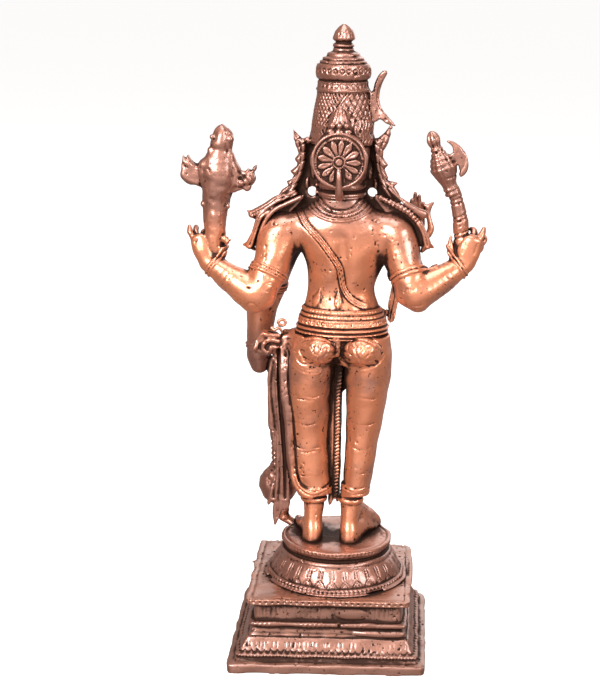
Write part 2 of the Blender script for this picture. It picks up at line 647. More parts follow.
legs_wax.add(stack([(97, -1.4, 1.3, 10.8, 7.0), (94, -1.4, 1.2, 12.6, 7.8), (91, -1.4, 1.2, 13.5, 7.8),
                    (88, -1.3, 1.0, 13.6, 6.8), (85.4, -1.2, 1.2, 12.6, 5.6)]), 0.8)
SIDE_TAIL = [
    (11.5, 92), (16.4, 92), (18.2, 86.5), (19.4, 79.5), (19.1, 65.6), (18.2, 64), (17.4, 58), (17.2, 50),
    (19.2, 43.0), (18.8, 41.4), (17.4, 43), (17.6, 38.6), (17.0, 34.8), (15.6, 37.8), (14.8, 40), (12.9, 40.5),
    (12.6, 46), (12.4, 64), (12.4, 80),
]
legs_wax.add(plate(SIDE_TAIL, 0.8, 3.6), 0.3)
legs_wax.add(limb([
    (14.6, 1.4, 93.6, 0.9, 1.2), (14.8, 2.6, 90, 1.2, 1.4), (15.0, 4.4, 83, 1.3, 1.8), (14.5, 5.0, 76.5, 1.3, 1.8),
    (13.6, 5.2, 71, 1.25, 1.8), (12.9, 5.0, 63, 1.2, 1.8), (12.1, 4.8, 54.5, 1.2, 1.7), (10.8, 5.2, 49.6, 1.05, 1.4),
    (8.8, 6.3, 47.0, 0.7, 0.8), (6.4, 6.7, 46.0, 0.6, 0.6),
]), 2.0)
legs_wax.add(plate([(1.4, 87), (1.6, 60), (1.4, 43.2), (0.4, 42.2), (-0.6, 43.4), (-1.6, 42.6), (-1.8, 60),
                    (-1.7, 76), (-2.4, 87)], -2.6, 1.9), 0.3)
TASSEL = [(16.4, 93.2), (19.4, 94.0), (21.2, 93.9), (22.8, 91.6), (24.6, 88.9), (24.2, 87.9), (21.6, 87.0), (18.8, 87.2),
          (16.8, 88.4)]
legs_wax.add(plate(TASSEL, 1.0, 4.8, 1.6), 0.4)
for fold in (
    [(16.4, 4.0, 93.0, 0.6, 0.7), (19.2, 4.8, 93.2, 0.7, 0.7), (21.2, 4.4, 93.4, 0.5, 0.6), (22.6, 4.0, 91.4, 0.5, 0.6)],
    [(16.4, 4.2, 91.4, 0.6, 0.8), (18.4, 5.0, 91.9, 0.7, 0.8), (20.2, 5.0, 91.2, 0.7, 0.8), (20.9, 4.8, 89.4, 0.6, 0.7),
     (19.6, 4.8, 88.2, 0.6, 0.7)],
    [(22.6, 4.2, 91.0, 0.6, 0.7), (23.0, 4.8, 89.4, 0.8, 0.8), (24.4, 4.0, 88.4, 0.6, 0.7)],
    [(16.8, 4.2, 89.8, 0.6, 0.7), (18.4, 5.0, 89.8, 0.8, 0.8), (18.6, 4.8, 88.6, 0.5, 0.6)],
):
    legs_wax.add(limb(fold), 0.15)
legs_wax.add(limb([(15.4, 3.6, 93.8, 0.4, 0.5), (16.4, 4.2, 95.3, 0.4, 0.4), (17.6, 4.4, 94.6, 0.4, 0.4),
                   (18.4, 4.0, 95.3, 0.4, 0.4)]), 0.1)
legs_wax.add(limb([(15.6 + 1.1 * math.cos(turn), 2.9, 96.6 + 0.9 * math.sin(turn), 0.4, 0.4)
                   for turn in np.linspace(0, 2 * math.pi, 9)]), 0.1)
legs_wax.add(limb([(-0.2, 8.8, 94.8, 1.4, 1.5), (-0.3, 9.2, 92.0, 1.4, 1.5), (-0.3, 8.4, 89.6, 1.3, 1.3)]), 0.2)
legs_wax.add(plate([(5.2, 94), (5.4, 76), (5.8, 48), (4.8, 45.4), (3.4, 47.6), (1.9, 44.4), (0.5, 47.6),
                    (-0.9, 45), (-1.7, 48), (-1.8, 76), (-2.4, 94)], -7.6, -4.6), 0.4)
legs_wax.add(plate([(1.5, 91), (-5.5, 91), (-5, 80), (-3.4, 76.6), (-1.8, 75.4), (1.0, 78)], -4.0, -1.2,
                   smooth=False), 0.8)
legs_wax.add(egg(11.8, 1.6, 90.2, 3.0, 3.8, 4.8), 1.0)
legs_wax.cut(egg(-0.6, 9.8, 85.4, 1.9, 4.2, 2.8), 0.8)
legs_wax.cut(limb([(-0.5, 10.5, 86.6, 1.0, 3.0), (-0.4, 9.6, 82, 1.5, 5.0), (-0.3, 8.4, 76, 1.6, 5.0)]), 0.8)
SEAMS = [
    ((7.6, 76.5), 5.2, 0.03), ((7.6, 75.6), 4.0, 0.03), ((7.6, 67.8), 4.6, 0.03), ((7.4, 60.3), 4.4, 0.03),
    ((7.2, 59.3), 3.0, 0.05), ((6.6, 52.2), 3.2, 0.0), ((-9.0, 76.5), 3.6, 0.03), ((-8.4, 68.3), 4.2, 0.02),
    ((-8.4, 60.6), 3.2, 0.04), ((-8.6, 53.3), 2.8, 0.0), ((-7.4, 48.8), 4.6, 0.04), ((-6.9, 47.8), 4.6, 0.03),
    ((-6.7, 46.8), 4.6, 0.03),
]


def from_line(points, u, v):
    """Distance from an open line, and how far along it the nearest place is."""
    points = smoothed(points, 4)
    best, along, gone = np.full(u.shape, 1e9), np.zeros(u.shape), 0.0
    for a, b in zip(points, points[1:]):
        edge = b - a
        length = np.hypot(*edge)
        share = np.clip(((u - a[0]) * edge[0] + (v - a[1]) * edge[1]) / length ** 2, 0, 1)
        away = np.hypot(u - a[0] - edge[0] * share, v - a[1] - edge[1] * share)
        along = np.where(away < best, gone + share * length, along)
        best = np.minimum(best, away)
        gone += length
    return best, along


def legs_carving(x, y, z):
    """Flowers on the seat, the cloth's seams, folds and hems, the pleats of its tails, and the pitted roll."""
    raised = 0.9 * casting_skin(x, y, z, 71)
    behind = y > 6.5
    for flower_x, flower_z in ((5.0, 87.9), (-6.9, 88.1)):
        u, v = x - flower_x, z - flower_z
        lines = 0
        for lean in (-96, -64, -32, 0, 32, 64, 96):
            turn = math.radians(lean)
            along, across = u * math.sin(turn) + v * math.cos(turn), u * math.cos(turn) - v * math.sin(turn)
            share = np.hypot((along - 3.1) / 2.2, across / 0.95)
            lines = lines + hill((share - 1) * 0.95, 0.14) + 0.6 * hill(across, 0.12) * between(along, 1.9, 4.0)
        arcs = np.hypot(u / 1.1, v - 0.2)
        lines = lines + (hill(arcs - 5.9, 0.18) + hill(arcs - 6.6, 0.18)) * (v > 1.2)
        here = behind & (np.abs(u) < 6.4) & (v > -2.2) & (v < 7.2)
        raised = raised - 0.28 * here * np.clip(lines, 0, 1)
    raised = raised - 0.5 * hill(x + 0.3, 0.3) * (y > 8.6) * between(z, 89.6, 94.4)
    for line, ridges in (
        ([(13.8, 90.4), (11.4, 86.4), (8.4, 84.6), (4.6, 84.6)], 2), ([(-14.6, 89.2), (-11.6, 86.2), (-7.4, 84.8)], 1),
    ):
        away, _ = from_line(line, x, z)
        raised = raised + (y > 1) * 0.14 * sum(hill(away - 0.95 * k, 0.2) for k in range(ridges))
    for (seam_x, seam_z), reach, sag in SEAMS:
        u = x - seam_x
        wavy = sag * u * u + 0.16 * np.sin(1.1 * u + seam_z)
        line = hill(z - seam_z - wavy, 0.16)
        here = np.clip((reach - np.abs(u)) / 1.2, 0, 1) * (0.65 + 0.5 * np.sin(0.9 * u + 3 * seam_z)) * ((y > 2) | (z < 50))
        raised = raised - 0.34 * here * line
    hem, _ = from_line([(10.8, 52), (9.4, 48.8), (5.3, 47.0), (0.9, 48.8)], x, z)
    raised = raised + 0.25 * hill(hem, 0.3) * (y > 1.5) - 0.25 * hill(hem - 0.6, 0.18) * (y > 1.5)
    tail = (np.abs(x) < 2.6) & (z < 84) & (z > 42) & (y > -1.4)
    ladder = hill(spaced(z + 0.35 * x, 1.05), 0.24) * (x < -0.1)
    raised = raised - tail * (0.36 * ladder + 0.3 * hill(x - 0.1, 0.22) + 0.2 * hill(x - 1.0, 0.2))
    side = (x > 12.6) & (z < 90) & (z > 34)
    for line, deep in (
        ([(16.4, 89), (16.4, 81.4), (16.0, 74.9), (15.1, 65.2), (14.2, 54), (14.0, 44)], 0.35),
        ([(18.0, 85), (18.5, 78), (17.9, 71.4), (17.2, 65), (17.0, 54), (17.4, 44)], 0.35),
        ([(17.3, 86), (17.6, 78), (17.0, 70), (16.2, 62), (15.8, 50), (16.4, 38)], 0.2),
    ):
        away, _ = from_line(line, x, z)
        raised = raised - side * deep * (hill(away, 0.35) - 0.6 * hill(away - 0.8, 0.45))
    raised = raised - (x > 17.5) * (z < 64.5) * (z > 53.5) * (z < 90) * 0.35 * hill(spaced(z, 1.15), 0.22)
    roll, _ = from_line([(15.2, 95), (14.7, 90), (14.9, 83), (14.4, 76.5), (13.4, 71), (12.7, 63), (12.1, 54.5),
                         (11.1, 49.2)], x, z)
    speckle = np.clip(lumps(x, y, z, 0.75, 74) - 0.1, 0, 1)
    raised = raised - 0.24 * speckle * (roll < 1.2) * (y > 3.6)
    raised = raised - 0.32 * hill(roll - 1.5, 0.26) * (y > 3) * (z < 89) * (z > 50)
    panel = (np.abs(x - 1.8) < 3.9) & (y < -4.4) & (z < 94)
    raised = raised - panel * 0.4 * hill(spaced(x - 1.8 - 0.01 * (z - 60), 1.35), 0.28)
    for sag_z, low in ((95.5, 7), (92.5, 8.5), (89, 10)):
        for middle in (-8.2, 6.6):
            u = (x - middle) / 6.0
            swag = hill(z - sag_z + low * (1 - np.clip(u * u, 0, 1)) * 0.55, 0.45)
            raised = raised + 0.35 * swag * (np.abs(u) < 1) * (y < -2) * (np.abs(x + 0.8) > 4.6)
    for seam_z in (77, 72.5, 68, 63.5, 59, 54.5):
        u = x + 0.8
        raised = raised - 0.26 * hill(z - seam_z - 0.05 * u * u + 2.2, 0.26) * (y < -0.5) * (np.abs(u) > 3.6)
    return raised


legs_wax.chase(legs_carving, (-20, -20.5, 31), (27, 16.5, 98), 1.5)
settle(legs_wax.cast("legs_and_cloth", 150000))

# Trunk: back and chest with the collar, the sacred thread and the belt, the shoulders down to the armlets.
trunk_wax = Wax((-24, -13.5, 90.5), (25, 13, 136.5), 0.25)
TRUNK = [
    (91.8, -1.5, 1.3, 12.2, 7.8), (94.6, -1.4, 1.4, 12.2, 8.3), (97, -1.6, 1.2, 12.2, 8.3), (101.8, -1.2, 0.4, 10.6, 7.4),
    (106.5, -0.85, 0, 9.5, 6.9), (111, -1.4, 0.2, 10.2, 7.5), (115, -1.9, 0.3, 11.4, 8.2),
    (119.5, -1.4, 0.4, 13.6, 8.6), (124, -0.4, 0.5, 15.4, 8.2), (127.6, -0.1, 0.8, 13.6, 6.9),
    (130.2, -0.4, 1.0, 9.2, 5.6), (132.5, -0.6, 1.1, 6.3, 5.2), (136, -0.6, 1.0, 5.7, 5.0),
]
trunk_wax.add(stack(TRUNK))
LEFT_BACK_UPPER = [(12.0, 0.4, 123.2, 4.4, 4.8), (16.2, 1.6, 122.4, 5.9, 5.9), (18.6, 4.4, 114, 5.2, 5.3),
                   (21.2, 7.0, 107.8, 4.9, 4.9), (23.4, 8.0, 103.8, 3.4, 3.4)]
RIGHT_BACK_UPPER = [(-12.0, 0.4, 123.6, 4.4, 4.8), (-15.6, 1.6, 123.1, 5.8, 5.8), (-18.8, 4.4, 115, 4.8, 5.0),
                    (-21.2, 7.0, 109.4, 4.8, 4.8), (-22.8, 8.0, 105.4, 3.4, 3.4)]
LEFT_FRONT_UPPER = [(12.0, -1.4, 121.6, 4.4, 4.6), (15.8, -3.8, 116.5, 4.5, 4.7), (19.0, -6.0, 108.5, 4.7, 4.7),
                    (21.2, -7.6, 102, 4.5, 4.5), (22.0, -8.0, 97.5, 3.4, 3.4)]
RIGHT_FRONT_UPPER = [(-12.0, -1.4, 121.6, 4.4, 4.6), (-15.4, -3.4, 116.5, 3.9, 4.3), (-18.0, -5.8, 109.5, 3.5, 3.8),
                     (-18.8, -7.2, 105, 2.8, 2.9)]
for upper in (LEFT_BACK_UPPER, RIGHT_BACK_UPPER):
    trunk_wax.add(limb(smoothed(upper, 4)[:12 if upper is RIGHT_BACK_UPPER else 11], steps=2), 2.6)
for upper in (LEFT_FRONT_UPPER, RIGHT_FRONT_UPPER):
    trunk_wax.add(limb(smoothed(upper, 4)[:7], steps=2), 1.2)
trunk_wax.cut(limb([(-1.2, 10.2, 122, 0.9, 1.6), (-1.6, 10.4, 114, 1.2, 2.4), (-0.8, 9.0, 107, 1.2, 2.2)]), 3.5)
THREAD_BACK = [(12.4, 132), (11.6, 130.2), (8.9, 125.8), (4.3, 121.1), (-0.3, 114.7), (-1.2, 111.2), (-1.9, 107.8),
               (-3.9, 105.0), (-7.1, 103.1), (-8.4, 102.8)]
THREAD_FRONT = [(12, 130), (9.5, 124), (5.5, 116.5), (1.5, 110.5), (-3, 105), (-7.5, 101.5)]


def trunk_carving(x, y, z):
    """Collar, sacred thread, neck rings and belt, raised and cut on the body."""
    behind = y > 0
    middle = np.where(behind, 133.6, 133.0)
    wide, tall = np.where(behind, 10.8, 10.6), np.where(behind, 6.9, 13.0)
    share = np.hypot((x + 0.4) / wide, (z - middle) / tall)
    turn = np.arctan2((z - middle) / tall, (x + 0.4) / wide)
    collar = np.clip((1 - share) * 14, 0, 1) * (z < 133.4)
    raised = 0.5 * collar
    for edge_at in (0.9, 0.78, 0.64, 0.5):
        raised = raised - 0.42 * collar * hill(share - edge_at, 0.026)
    strokes = hill(spaced(turn, 0.085) * 9, 0.2) * (between(share, 0.52, 0.62, 0.03) + between(share, 0.66, 0.76, 0.03))
    raised = raised - 0.32 * strokes * collar
    for points, here in ((THREAD_BACK, behind), (THREAD_FRONT, ~behind)):
        away, along = from_line(points, x, z)
        strands = np.clip((0.85 - away) / 0.2, 0, 1) * here * (z > 101)
        fade = here * (z > 101) * np.clip((x + 8.6) / 2, 0, 1)
        raised = raised + strands * 0.18 - fade * (0.4 * hill(away - 0.32, 0.15) + 0.36 * hill(away - 0.95, 0.17))
    for height in (134.0, 136.1):
        neck_ring = 0.9 * hill(z - height, 0.8) - 0.3 * hill(z - height + 1.1, 0.2)
        raised = raised + neck_ring * (np.abs(x + 0.5) < 7.4)
    tabs = 0
    for tab_x, lean in ((5.4, -0.3), (-0.5, 0.0)):
        u, v = x - tab_x - lean * (z - 105), (z - 104.8) / 2.9
        tabs = tabs + np.clip((1 - np.abs(u) / (0.35 + 0.85 * np.clip(0.8 - v, 0, 1.5)) - v * v) * 3, 0, 1) * behind
    raised = raised + 0.45 * np.clip(tabs, 0, 1)
    for height, half, proud in ((96.1, 0.5, 1.2), (94.8, 0.5, 1.3), (93.7, 0.3, 1.0)):
        raised = raised + proud * hill(z - height, half)
    belt_along = np.arctan2(y, x + 1.2) * 10.8
    for height in (101.0, 99.7):
        bead = np.hypot(spaced(belt_along, 1.05), z - height)
        raised = raised + between(z, height - 0.55, height + 0.55, 0.2) * (0.45 + 0.25 * hill(bead, 0.3))
    ring = np.hypot(spaced(belt_along, 1.45), z - 97.95)
    raised = raised + between(z, 97.0, 98.95, 0.3) * (0.85 - 0.4 * hill(ring - 0.42, 0.17) - 0.1 * hill(ring, 0.14))
    ticks = hill(spaced(belt_along + 0.6 * (z - 94.8), 1.1), 0.2) * between(z, 94.4, 95.3)
    raised = raised - 0.2 * ticks * (0.5 + 0.5 * np.sin(belt_along * 0.35))
    return raised + 0.9 * casting_skin(x, y, z, 31)


trunk_wax.chase(trunk_carving, (-24, -14, 92.4), (25, 14, 136.5), 1.7)
settle(trunk_wax.cast("trunk", 130000))

# Arms from the armlets to the hands, with the conch and the mace on the left and the axe on the right.
LEFT_BACK_LOWER = [(20.4, 7.6, 105.2, 3.4, 3.4), (23.4, 7.4, 106.0, 4.8, 4.8), (29.4, 5.6, 109.2, 4.2, 4.2),
                   (34.2, 4.0, 112.3, 3.1, 3.1), (36.8, 3.2, 114.2, 2.9, 2.6)]
LEFT_FRONT_LOWER = [(21.2, -7.4, 104, 3.6, 3.6), (22.5, -8.2, 98, 4.3, 4.2), (23.0, -8.8, 91, 3.9, 3.7),
                    (23.2, -9.4, 85, 3.5, 3.2)]
RIGHT_BACK_LOWER = [(-19.8, 7.6, 107.2, 3.4, 3.4), (-23.0, 7.4, 107.8, 4.7, 4.7), (-28.6, 5.6, 110.8, 4.2, 4.2),
                    (-33.2, 4.0, 113.9, 3.2, 3.2), (-35.6, 3.2, 116.0, 3.0, 2.7)]
RIGHT_FRONT_LOWER = [(-18.4, -6.0, 106.0, 2.8, 2.9), (-18.8, -8.8, 107.0, 3.3, 3.4), (-19.3, -11.8, 110.4, 3.0, 3.1),
                     (-20.0, -14.4, 115.6, 2.4, 2.4), (-20.4, -15.2, 118.6, 2.4, 2.0)]
left_wax = Wax((9, -16.5, 29.5), (46.5, 14, 154), 0.28)
left_wax.add(limb(smoothed(LEFT_BACK_UPPER, 4)[9:], steps=2))
left_wax.add(limb(LEFT_BACK_LOWER), 1.0)
left_wax.add(limb(smoothed(LEFT_FRONT_UPPER, 4)[5:], steps=2))
left_wax.add(limb(LEFT_FRONT_LOWER), 0.8)
left_wax.add(limb([(36.4, 3.9, 113.7, 2.7, 2.3), (38.2, 3.9, 117.2, 2.9, 1.9), (39.2, 3.4, 120.4, 2.7, 1.5)]), 0.7)
for finger in (
    [(40.6, 3.2, 119.8, 1.0, 1.0), (41.8, 2.6, 121.8, 0.9, 0.9), (42.3, 2.0, 123.6, 0.5, 0.5)],
    [(39.6, 2.8, 120.4, 1.0, 1.0), (40.4, 1.6, 122.0, 0.9, 0.9), (40.6, 0.0, 122.8, 0.7, 0.7)],
    [(38.4, 2.4, 120.4, 1.0, 1.0), (38.6, 0.8, 121.6, 0.9, 0.9), (38.0, -1.0, 122.0, 0.7, 0.7)],
    [(37.2, 2.0, 119.9, 1.0, 1.0), (36.9, 0.0, 121.0, 0.9, 0.9), (35.8, -1.8, 121.2, 0.7, 0.7)],
    [(35.2, 2.6, 115.2, 1.1, 1.1), (32.8, 1.6, 117.6, 1.0, 1.0), (32.0, 0.2, 120.0, 0.7, 0.7)],
):
    left_wax.add(limb(finger), 0.25)
left_wax.add(limb([
    (34.4, 3.0, 115.6, 2.2, 2.0), (34.7, 2.8, 119, 3.1, 2.6), (34.9, 2.6, 123, 3.4, 2.8), (34.9, 2.4, 127, 3.6, 3.0),
    (34.7, 2.2, 130.6, 3.9, 3.2), (34.4, 2.2, 133.4, 4.2, 3.6), (34.0, 2.2, 136, 5.0, 3.9), (33.8, 2.2, 138.8, 5.2, 4.3),
    (33.8, 2.2, 141.4, 4.6, 3.9), (33.8, 2.2, 143.6, 3.1, 3.2), (33.6, 2.2, 145.4, 2.7, 2.6), (33.1, 2.2, 147.4, 3.1, 2.7),
    (33.0, 2.2, 149.4, 2.9, 2.4), (33.1, 2.2, 151.0, 1.8, 1.6), (33.2, 2.2, 152.0, 0.6, 0.6),
]), 0.3)
left_wax.add(plate([
    (35.4, 145.2), (38.0, 143.4), (39.8, 141.9), (39.7, 138.6), (39.4, 136.4), (37.6, 134.4), (37.5, 131.2), (31.4, 131.2),
    (30.8, 134.4), (28.4, 135.5), (27.7, 138.4), (27.9, 140.4), (29.4, 142.6), (30.6, 145.2),
], -0.6, 4.8, 1.6), 0.8)
OUTER_FLAME = [
    (37, 134.9), (40.5, 135.3), (42.3, 135.8), (44.1, 136.8), (44.8, 138.2), (44.6, 140.4), (44.2, 142.2),
    (44.1, 143.8), (43.2, 142.8), (42.7, 143.9), (41.9, 142.8), (40.8, 141.7), (39.2, 141.2), (37, 141.8),
]
INNER_FLAME = [
    (30.5, 141.4), (28.1, 140.1), (26.5, 139.6), (25.8, 140.6), (25.1, 139.9), (24.6, 140.4), (23.3, 141.4),
    (23.8, 139.1), (23.4, 137.6), (24.3, 135.5), (25.6, 134.0), (27.5, 134.2), (30.5, 133.9),
]
left_wax.add(plate(OUTER_FLAME, 0.4, 4.2, 1.3), 0.5)
left_wax.add(plate(INNER_FLAME, 0.2, 3.8, 0.9), 0.5)
for lump in (
    egg(25.6, 3.9, 137.4, 1.3, 0.8, 1.6), egg(27.8, 4.2, 136.4, 1.2, 0.8, 1.2), egg(36.1, 3.0, 145.4, 0.8, 0.9, 0.8),
    egg(31.2, 3.4, 129.9, 0.9, 1.4, 1.2), egg(32.0, 4.0, 120.4, 1.3, 1.5, 1.6), egg(38.2, 3.2, 130.2, 0.8, 1.2, 0.9),
    egg(35.6, 3.4, 149.2, 0.9, 1.0, 0.8), egg(30.5, 3.4, 148.6, 0.9, 1.0, 0.9),
):
    left_wax.add(lump, 0.5)
left_wax.add(limb([(23.2, -9.4, 86.4, 3.2, 2.9), (23.3, -9.8, 83.6, 3.6, 3.4), (23.2, -9.9, 80.6, 2.8, 2.6)]), 0.5)
for finger in range(4):
    height = 85.3 - 1.5 * finger
    left_wax.add(limb([(24.8, -9.2, height, 1.2, 1.1), (25.0, -12.4, height - 0.2, 1.1, 1.1),
                       (21.4, -13.2, height - 0.4, 1.0, 1.0)]), 0.2)
left_wax.add(spun([(0, 0), (1.7, 2.0), (1.2, 3.2), (1.6, 4.4), (1.3, 5.6), (1.6, 7.0), (0, 7.4)],
                  (14.7, -9.9, 31), (17.9, -10, 50.6)), 0.2)
left_wax.add(egg(17.0, -10, 43.8, 5.9, 5.9, 6.1), 0.4)
left_wax.add(limb([(17.6, -10, 49.6, 2.0, 2.0), (17.8, -10, 51.6, 1.5, 1.5), (19.6, -9.8, 82, 1.5, 1.5)]), 0.2)
left_wax.add(limb([(15.6, -10.2, 33.0, 1.3, 1.2), (11.0, -8.2, 31.2, 1.6, 1.2)]), 0.2)


def bands(x, y, z, rings):
    """Cast bands round a limb: each has a middle, the limb's direction there, a half width and its ridges."""
    raised = 0
    for middle, direction, half, ridges in rings:
        direction = np.array(direction, float) / np.linalg.norm(direction)
        offset = [x - middle[0], y - middle[1], z - middle[2]]
        along = sum(d * o for d, o in zip(direction, offset))
        near = sum(o * o for o in offset) < 8.5 ** 2
        ridge = hill(spaced(along + half, 2 * half / ridges), 0.2)
        raised = raised + near * between(along, -half, half, 0.3) * (0.55 - 0.46 * ridge)
    return raised


def left_carving(x, y, z):
    """Armlet, bracelets, the ridge and pitting of the conch, and the ribs on the mace."""
    conch = between(z, 116.5, 152.6) * (x > 23) * ((z > 124) | (x > 30.4)) * (z > 121.5 - 3 * (x < 34))
    raised = bands(x, y, z, (
        ((19.6, 5.3, 111.6), (2.6, 2.6, -6.2), 1.25, 3), ((34.6, 4.0, 113.3), (7.4, -2.4, 5.0), 0.95, 2),
        ((23.2, -9.3, 86.8), (0, 0, 1), 0.9, 2), ((19.6, -6.4, 106.8), (3.2, -2.2, -8), 1.2, 3),
    ))
    ridge_x = np.interp(z, [117, 124, 132, 137, 142, 145, 149], [33.4, 32.8, 32.6, 29.6, 30.6, 31.4, 31.8])
    shaded = np.clip((ridge_x - x) / 0.8, 0, 1) * (y > 1) * (x > 28.2)
    raised = raised - conch * (0.4 * shaded * (z < 133.5) + 0.22 * hill(x - ridge_x, 0.5))
    raised = raised + conch * (0.2 * lumps(x, y, z, 3.0, 41) + 0.16 * lumps(x, y, z, 1.4, 42))
    flame = conch * (x < 28.4)
    raised = raised - flame * 0.35 * hill(spaced(np.hypot(x - 34, z - 131), 2.6), 0.4)
    ribs = hill(spaced(z, 1.5), 0.3) * (between(z, 50, 58) + between(z, 72, 79)) * (np.abs(x - 18) < 3)
    raised = raised + 0.35 * lumps(x, y, z, 1.6, 44) * between(z, 38, 50) * (x > 9)
    swirl = hill(np.abs(np.hypot(x - 18.6, z - 108.0) - 1.5) - 0.3, 0.18) * (z > 107.6)
    swirl = swirl + hill(np.hypot(x - 23.6, z - 102.4) - 1.6, 0.2) * (z > 102.0)
    return raised - 0.35 * ribs - 0.22 * swirl * (y > 3) + 0.9 * casting_skin(x, y, z, 43)


left_wax.chase(left_carving, (9, -17, 30), (47, 14, 154), 1.7)
settle(left_wax.cast("left_arms", 130000))

right_wax = Wax((-43, -19, 93.5), (-9, 14, 154), 0.28)
right_wax.add(limb(smoothed(RIGHT_BACK_UPPER, 4)[10:], steps=2))
right_wax.add(limb(RIGHT_BACK_LOWER), 1.0)
right_wax.add(limb(smoothed(RIGHT_FRONT_UPPER, 4)[5:], steps=2))
right_wax.add(limb(RIGHT_FRONT_LOWER), 0.8)
right_wax.add(limb([(-35.4, 4.0, 115.2, 2.7, 2.3), (-36.3, 4.0, 118.4, 3.3, 2.2), (-37.4, 3.8, 121.8, 3.1, 1.9)]), 0.8)
for finger in (
    [(-38.6, 3.8, 121.4, 1.2, 1.1), (-40.0, 3.2, 123.6, 1.0, 1.0), (-40.6, 2.2, 125.2, 0.6, 0.6)],
    [(-39.4, 2.8, 120.6, 1.2, 1.1), (-41.0, 1.6, 122.0, 0.9, 0.9), (-40.4, -0.6, 122.6, 0.8, 0.8)],
    [(-38.6, 1.8, 118.6, 1.2, 1.1), (-40.0, 0.0, 119.8, 1.0, 1.0), (-38.2, -1.8, 120.4, 0.8, 0.8)],
    [(-37.6, 2.8, 122.2, 1.2, 1.1), (-37.8, 1.2, 124.2, 1.0, 1.0), (-36.8, -0.4, 124.6, 0.8, 0.8)],
    [(-33.0, 4.2, 116.8, 0.9, 0.9), (-31.4, 4.0, 119.8, 0.8, 0.9), (-31.4, 3.2, 123.0, 0.6, 0.6)],
):
    right_wax.add(limb(finger), 0.25)
right_wax.add(limb([(-34.6, 2.4, 117.6, 2.4, 2.2), (-34.2, 2.4, 124.6, 2.3, 2.2), (-33.6, 2.4, 128.8, 2.1, 2.1),
                    (-32.8, 2.4, 132.4, 1.9, 1.9), (-31.7, 2.4, 136.0, 1.9, 1.9)]), 0.2)
right_wax.add(spun([
    (0, -0.6), (2.2, -0.4), (2.45, 0.3), (2.0, 0.8), (2.45, 1.4), (2.2, 2.2), (2.4, 3.4), (3.3, 5.6), (3.85, 7.2),
    (3.9, 7.9), (3.3, 8.4), (3.4, 9.2), (2.8, 9.8), (2.9, 10.5), (2.2, 11.3), (2.2, 12.0), (1.6, 12.5), (1.95, 13.1),
    (1.5, 13.7), (1.9, 15.0), (2.0, 16.0), (1.6, 17.2), (0.9, 18.1), (0, 18.5),
], (-31.5, 2.4, 134.9), (-24.7, 2.4, 152)), 0.1)
right_wax.add(plate([
    (-29.0, 149.4), (-30.6, 149.9), (-33.2, 148.3), (-34.9, 145.7), (-35.4, 143.1), (-35.0, 141.0), (-33.8, 139.6),
    (-33.1, 139.9), (-33.1, 141.5), (-32.4, 143.0), (-30.4, 142.8), (-29.4, 145.2), (-31.0, 146.2), (-30.8, 147.8),
    (-29.8, 148.7),
], 1.4, 3.3), 0.15)
right_wax.add(limb([(-20.4, -15.2, 117.4, 2.5, 1.9), (-20.8, -15.6, 120.6, 3.3, 1.5), (-21.2, -15.5, 123.8, 3.1, 1.2)]),
              0.5)
for x, tip_x, reach in ((-19.3, -20.3, 130.0), (-20.7, -21.2, 132.0), (-22.1, -22.4, 131.4), (-23.4, -23.5, 129.2)):
    right_wax.add(limb([(x, -15.5, 123, 0.9, 0.95), ((x + tip_x) / 2, -15.3, (reach + 123) / 2, 0.85, 0.9),
                        (tip_x, -14.6, reach, 0.55, 0.55)]), 0.2)
right_wax.add(limb([(-18.4, -15.4, 118.8, 1.0, 1.0), (-17.2, -15.8, 121.4, 0.9, 0.9), (-17.4, -15.6, 124.0, 0.6, 0.6)]),
              0.3)
right_wax.add(limb([
    (-21.8, -11.8, 120.6, 1.0, 1.0), (-24.4, -12.6, 119.6, 1.0, 1.0), (-25.9, -13.2, 121.6, 1.0, 1.0),
    (-25.6, -13.4, 124.0, 0.9, 0.9), (-25.0, -13.6, 126.2, 0.9, 0.8), (-25.2, -13.8, 128.2, 0.9, 0.6),
    (-26.4, -14.0, 129.5, 0.3, 0.3),
]), 0.2)
right_wax.add(limb([(-25.2, -13.8, 128.0, 0.7, 0.6), (-23.9, -13.9, 128.8, 0.4, 0.4)]), 0.2)
right_wax.add(limb([(-20.6, -14.6, 119.4, 1.2, 1.2), (-20.8, -12.6, 120.4, 1.1, 1.1), (-22.4, -11.6, 120.8, 1.0, 1.0)]))
right_wax.add(plate([(-15.8, 108.6), (-17.7, 108.2), (-17.2, 102), (-16.6, 97.2), (-15.2, 95.6), (-14.0, 97.4),
                     (-14.6, 103)], -6.6, -4.6))
right_wax.add(limb([(-11, -4.6, 99.4, 1.4, 1), (-13.6, -5.4, 98.4, 1.3, 1), (-15.8, -5.6, 98.6, 1.2, 0.9)], (0, 0, 1)))


